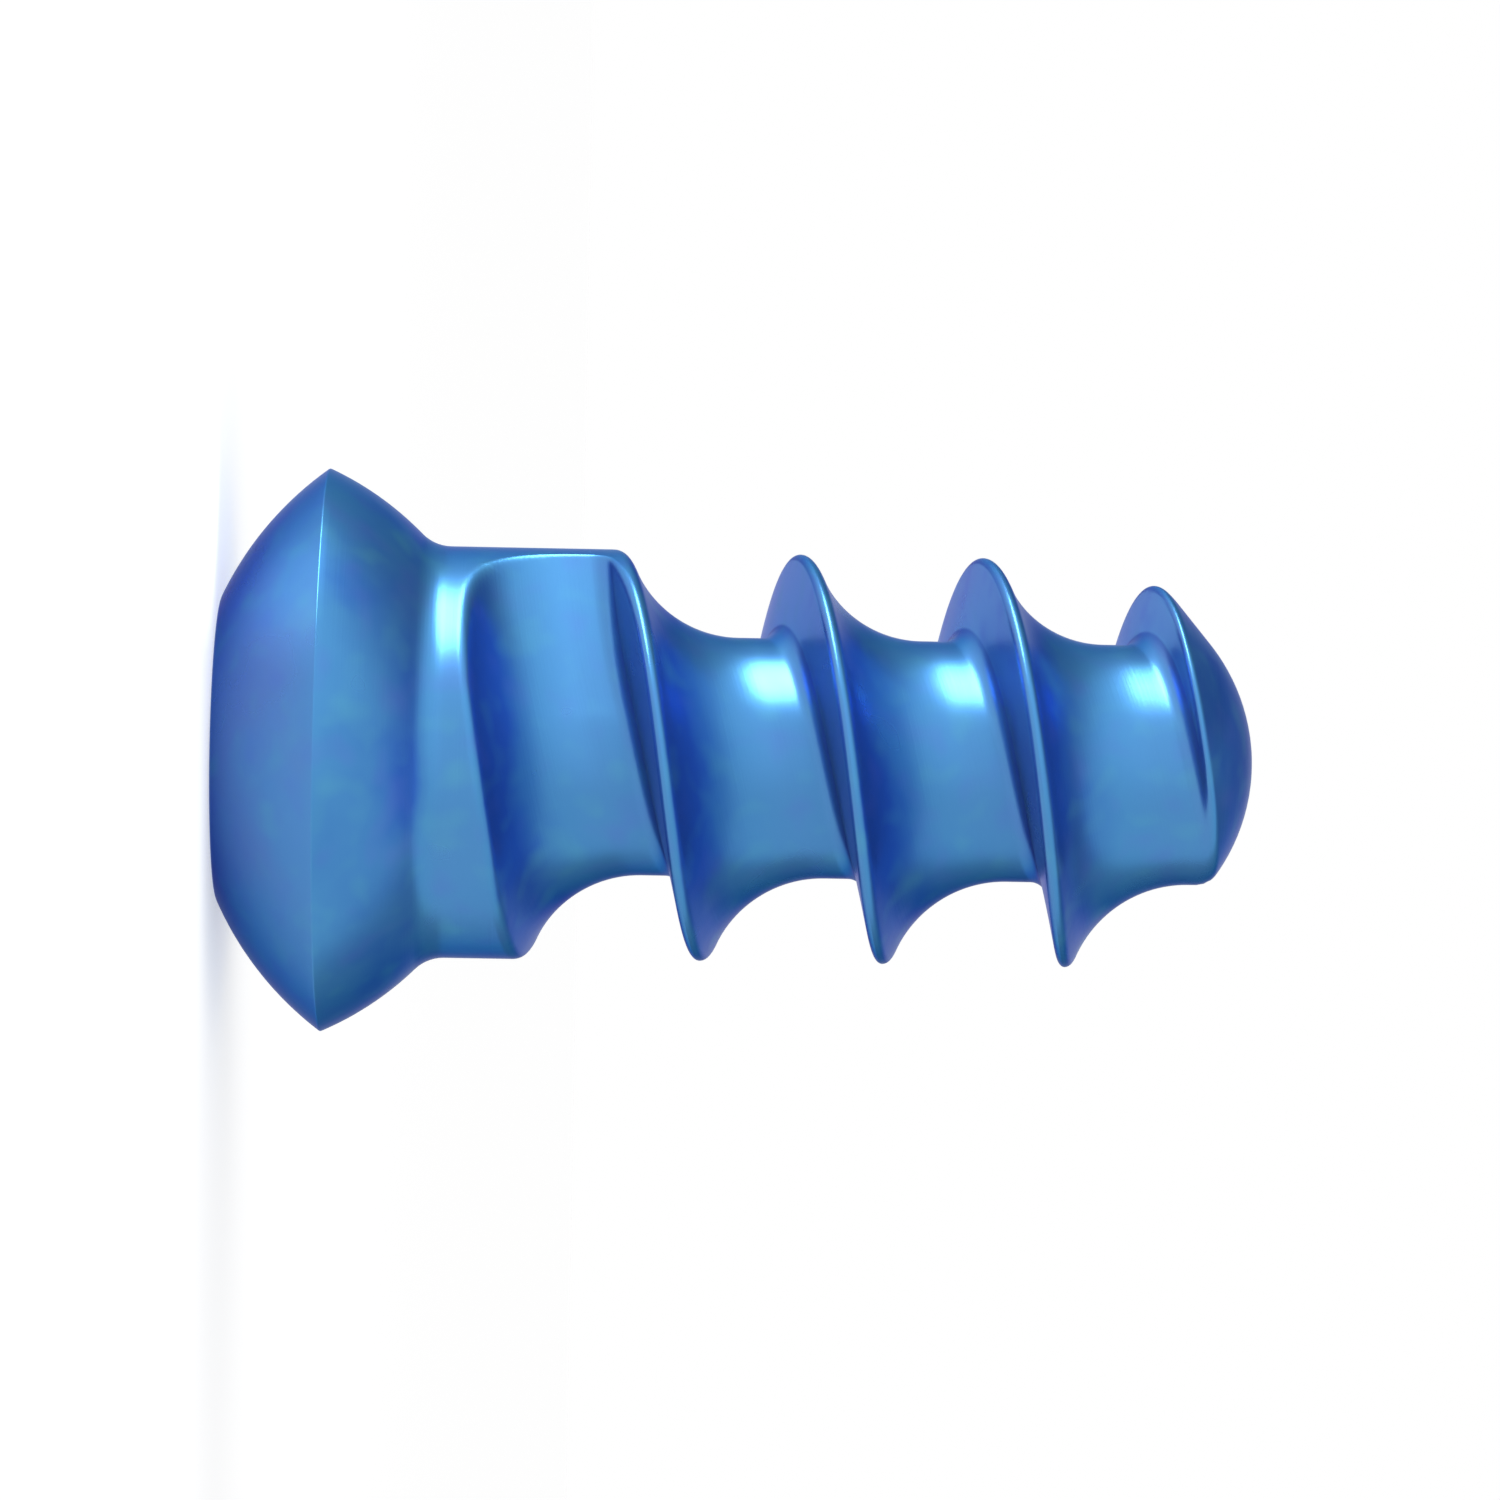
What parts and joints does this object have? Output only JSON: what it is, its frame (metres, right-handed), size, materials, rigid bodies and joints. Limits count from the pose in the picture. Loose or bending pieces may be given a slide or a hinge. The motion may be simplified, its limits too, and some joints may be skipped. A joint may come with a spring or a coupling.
{
  "type": "occipital fixation screw",
  "caption": "Short bone screw with a lens-shaped head, a smooth collar, a coarse right-hand thread, a blunt nose and a hexagon socket in the head.",
  "frame": {"origin": "centre of the head's flat face, which the screw stands on", "axes": "+Z along the screw's axis, from the head to the tip; X and Y are square to it, and -Y faces the side with the groove's run-out"},
  "size_m": [0.0062, 0.0062, 0.0113],
  "materials": {
    "anodised_titanium": "satin"
  },
  "bodies": {
    "root": {"bone_screw": "anodised_titanium"}
  },
  "joints": []
}
